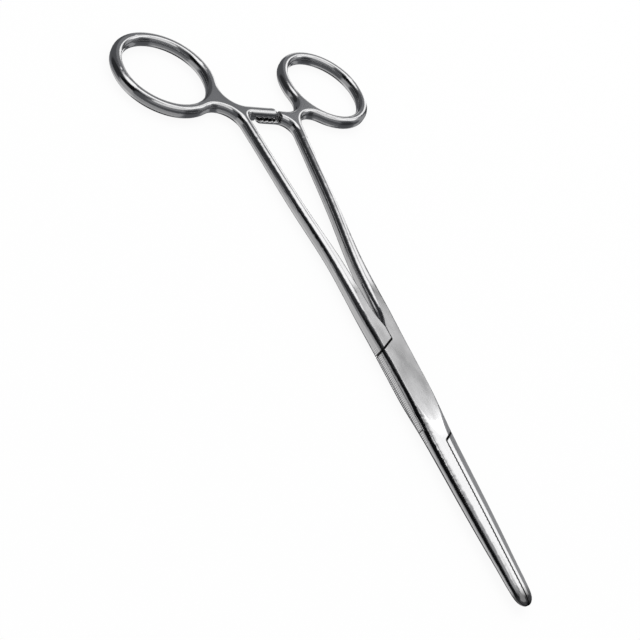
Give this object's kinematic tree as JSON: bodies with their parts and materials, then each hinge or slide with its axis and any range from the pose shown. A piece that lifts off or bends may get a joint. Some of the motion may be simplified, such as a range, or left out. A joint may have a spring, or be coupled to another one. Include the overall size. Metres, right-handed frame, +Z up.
{
  "type": "haemostatic forceps",
  "caption": "Straight haemostatic forceps with a box lock, finger rings, a ratchet between the shanks and slender jaws with cross serrations.",
  "frame": {"origin": "on the pivot axis, at the underside of the box lock", "axes": "+Y towards the jaw tip, +Z up out of the face it lies on, +X towards the ring of the half that passes through the box"},
  "size_m": [0.0768, 0.16, 0.004],
  "materials": {
    "polished_steel": "polished stainless steel, satin where the lock is ground flat",
    "ground_steel": "ground stainless steel"
  },
  "bodies": {
    "box_half": {"female_half": "polished_steel", "lock_pin": "ground_steel"},
    "tongue_half": {"male_half": "polished_steel"}
  },
  "joints": [
    {"name": "lock_pivot", "type": "hinge", "parent": "box_half", "child": "tongue_half", "pos_m": [0, 0, 0.002], "axis": [0, 0, 1], "range_deg": [0, 40]}
  ]
}
